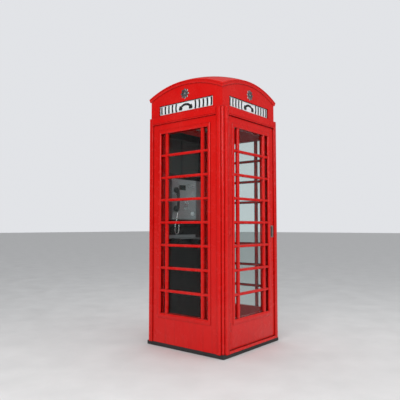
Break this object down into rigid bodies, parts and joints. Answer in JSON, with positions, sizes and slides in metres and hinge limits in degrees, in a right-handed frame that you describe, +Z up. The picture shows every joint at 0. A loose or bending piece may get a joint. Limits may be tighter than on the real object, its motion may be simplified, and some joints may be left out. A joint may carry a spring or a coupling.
{
  "type": "telephone booth",
  "caption": "Cast-iron telephone kiosk, square on plan, with glazed sides, a self-closing outward door, lit fascia signs, a domed roof and a payphone on the back wall.",
  "frame": {"origin": "middle of the underside of the plinth, on the ground", "axes": "+Z up; the door faces -Y, the back wall with the payphone is at +Y, and +X is to the right of someone facing the door"},
  "size_m": [0.914, 0.914, 2.515],
  "materials": {
    "plinth_black": "black painted concrete, rough, with a worn concrete floor",
    "red_iron": "thick red gloss paint on cast iron, slightly orange-peeled",
    "red_teak": "red gloss paint on teak",
    "red_glazing": "red gloss paint on metal glazing bars",
    "red_hinge": "red gloss paint over steel",
    "clear_glass": "clear, slightly dusty",
    "opal_glass": "opal white, satin",
    "emblem_metal": "dark pewter, worn bright on the high points",
    "pull_metal": "worn satin",
    "ceiling_cream": "satin cream paint",
    "lamp_opal": "opal, satin",
    "board_steel": "brushed, dull",
    "notice_dark": "dark satin paint with grey cards",
    "case_grey": "hammered grey paint",
    "cover_steel": "brushed, with fine scratches",
    "key_metal": "worn satin chrome",
    "black_plastic": "black, softly polished by hands",
    "cord_steel": "spiral armoured hose",
    "gland_rubber": "matt black"
  },
  "bodies": {
    "kiosk": {"base_plinth": "plinth_black", "corner_post_front_left": "red_iron", "corner_post_front_right": "red_iron", "corner_post_back_left": "red_iron", "corner_post_back_right": "red_iron", "threshold": "red_iron", "door_lintel": "red_iron", "left_side_frame": "red_iron", "right_side_frame": "red_iron", "back_panel": "red_iron", "roof_casting": "red_iron", "left_glazing_bars": "red_glazing", "right_glazing_bars": "red_glazing", "left_glass": "clear_glass", "right_glass": "clear_glass", "display_window": "clear_glass", "hinge_frame_half_top": "red_hinge", "hinge_frame_half_middle": "red_hinge", "hinge_frame_half_bottom": "red_hinge", "sign_glass_front": "opal_glass", "roof_emblem_front": "emblem_metal", "sign_glass_right": "opal_glass", "roof_emblem_right": "emblem_metal", "sign_glass_back": "opal_glass", "roof_emblem_back": "emblem_metal", "sign_glass_left": "opal_glass", "roof_emblem_left": "emblem_metal", "ceiling_panel": "ceiling_cream", "ceiling_lamp": "lamp_opal", "backboard": "board_steel", "notice_frame": "notice_dark", "shelf": "board_steel", "payphone_case": "case_grey", "payphone_cover": "cover_steel", "handset_cradle": "key_metal", "handset_cord": "cord_steel", "cord_gland": "gland_rubber"},
    "door": {"door_leaf": "red_teak", "door_glazing_bars": "red_glazing", "door_glass": "clear_glass", "door_pull": "pull_metal", "hinge_door_half_top": "red_hinge", "hinge_door_half_middle": "red_hinge", "hinge_door_half_bottom": "red_hinge"},
    "key_1_cap": {"key_1": "key_metal"},
    "key_2_cap": {"key_2": "key_metal"},
    "key_3_cap": {"key_3": "key_metal"},
    "key_4_cap": {"key_4": "key_metal"},
    "key_5_cap": {"key_5": "key_metal"},
    "key_6_cap": {"key_6": "key_metal"},
    "key_7_cap": {"key_7": "key_metal"},
    "key_8_cap": {"key_8": "key_metal"},
    "key_9_cap": {"key_9": "key_metal"},
    "key_star_cap": {"key_star": "key_metal"},
    "key_0_cap": {"key_0": "key_metal"},
    "key_hash_cap": {"key_hash": "key_metal"},
    "reject_button": {"coin_reject_button": "key_metal"},
    "return_flap": {"coin_return_flap": "key_metal"},
    "hook": {"hook_plunger": "black_plastic"},
    "receiver": {"handset": "black_plastic"}
  },
  "joints": [
    {"name": "door_swing", "type": "hinge", "parent": "kiosk", "child": "door", "pos_m": [-0.3682, -0.45, 1.05], "axis": [0, 0, -1], "range_deg": [0, 90], "stiffness_Nm_per_rad": 4},
    {"name": "key_1_press", "type": "slide", "parent": "kiosk", "child": "key_1_cap", "axis": [0, 1, 0], "range_m": [0, 0.0025], "stiffness_N_per_m": 300},
    {"name": "key_2_press", "type": "slide", "parent": "kiosk", "child": "key_2_cap", "axis": [0, 1, 0], "range_m": [0, 0.0025], "stiffness_N_per_m": 300},
    {"name": "key_3_press", "type": "slide", "parent": "kiosk", "child": "key_3_cap", "axis": [0, 1, 0], "range_m": [0, 0.0025], "stiffness_N_per_m": 300},
    {"name": "key_4_press", "type": "slide", "parent": "kiosk", "child": "key_4_cap", "axis": [0, 1, 0], "range_m": [0, 0.0025], "stiffness_N_per_m": 300},
    {"name": "key_5_press", "type": "slide", "parent": "kiosk", "child": "key_5_cap", "axis": [0, 1, 0], "range_m": [0, 0.0025], "stiffness_N_per_m": 300},
    {"name": "key_6_press", "type": "slide", "parent": "kiosk", "child": "key_6_cap", "axis": [0, 1, 0], "range_m": [0, 0.0025], "stiffness_N_per_m": 300},
    {"name": "key_7_press", "type": "slide", "parent": "kiosk", "child": "key_7_cap", "axis": [0, 1, 0], "range_m": [0, 0.0025], "stiffness_N_per_m": 300},
    {"name": "key_8_press", "type": "slide", "parent": "kiosk", "child": "key_8_cap", "axis": [0, 1, 0], "range_m": [0, 0.0025], "stiffness_N_per_m": 300},
    {"name": "key_9_press", "type": "slide", "parent": "kiosk", "child": "key_9_cap", "axis": [0, 1, 0], "range_m": [0, 0.0025], "stiffness_N_per_m": 300},
    {"name": "key_star_press", "type": "slide", "parent": "kiosk", "child": "key_star_cap", "axis": [0, 1, 0], "range_m": [0, 0.0025], "stiffness_N_per_m": 300},
    {"name": "key_0_press", "type": "slide", "parent": "kiosk", "child": "key_0_cap", "axis": [0, 1, 0], "range_m": [0, 0.0025], "stiffness_N_per_m": 300},
    {"name": "key_hash_press", "type": "slide", "parent": "kiosk", "child": "key_hash_cap", "axis": [0, 1, 0], "range_m": [0, 0.0025], "stiffness_N_per_m": 300},
    {"name": "reject_press", "type": "slide", "parent": "kiosk", "child": "reject_button", "axis": [0, 1, 0], "range_m": [0, 0.004], "stiffness_N_per_m": 250},
    {"name": "return_flap_swing", "type": "hinge", "parent": "kiosk", "child": "return_flap", "pos_m": [0.03, 0.292, 1.243], "axis": [1, 0, 0], "range_deg": [0, 50]},
    {"name": "receiver_pull", "type": "slide", "parent": "kiosk", "child": "receiver", "axis": [0, -1, 0], "range_m": [0, 0.08]},
    {"name": "hook_release", "type": "slide", "parent": "kiosk", "child": "hook", "axis": [0, -1, 0], "range_m": [0, 0.004]}
  ],
  "couplings": [
    {"joint": "hook_release", "follows": "receiver_pull", "ratio": 0.05}
  ]
}
